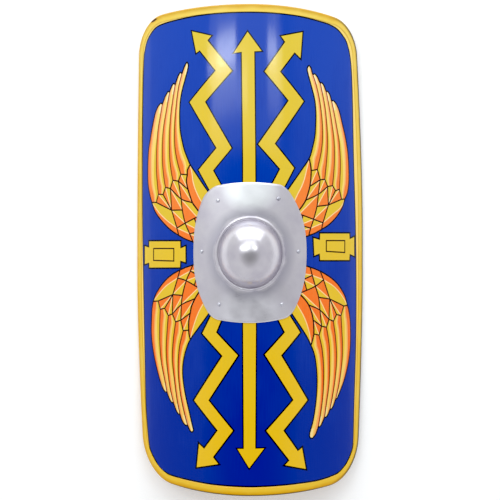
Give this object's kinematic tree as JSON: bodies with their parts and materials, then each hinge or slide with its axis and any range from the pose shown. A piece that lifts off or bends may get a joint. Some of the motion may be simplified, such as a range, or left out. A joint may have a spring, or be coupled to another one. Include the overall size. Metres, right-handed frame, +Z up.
{
  "type": "roman scutum shield",
  "caption": "Tall curved rectangular shield of painted plywood with a folded edging, a riveted steel boss plate with a raised dome, and a horizontal wooden grip behind.",
  "frame": {"origin": "under the middle of the shield, on the surface that its two long edges lie on", "axes": "+X across the shield, +Y from its bottom end to its top end, +Z up out of its painted face"},
  "size_m": [0.5024, 1.05, 0.1869],
  "materials": {
    "painted_board": "satin paint, blue with a yellow and orange pattern",
    "edging": "rawhide painted golden yellow",
    "boss_steel": "satin polished sheet",
    "rivet_steel": "polished domed heads",
    "grip_wood": "oiled ash"
  },
  "bodies": {
    "root": {"board": "painted_board", "rim_edging": "edging", "boss": "boss_steel", "boss_rivet_1": "rivet_steel", "boss_rivet_2": "rivet_steel", "boss_rivet_3": "rivet_steel", "boss_rivet_4": "rivet_steel", "boss_rivet_5": "rivet_steel", "boss_rivet_6": "rivet_steel", "handgrip": "grip_wood"}
  },
  "joints": []
}
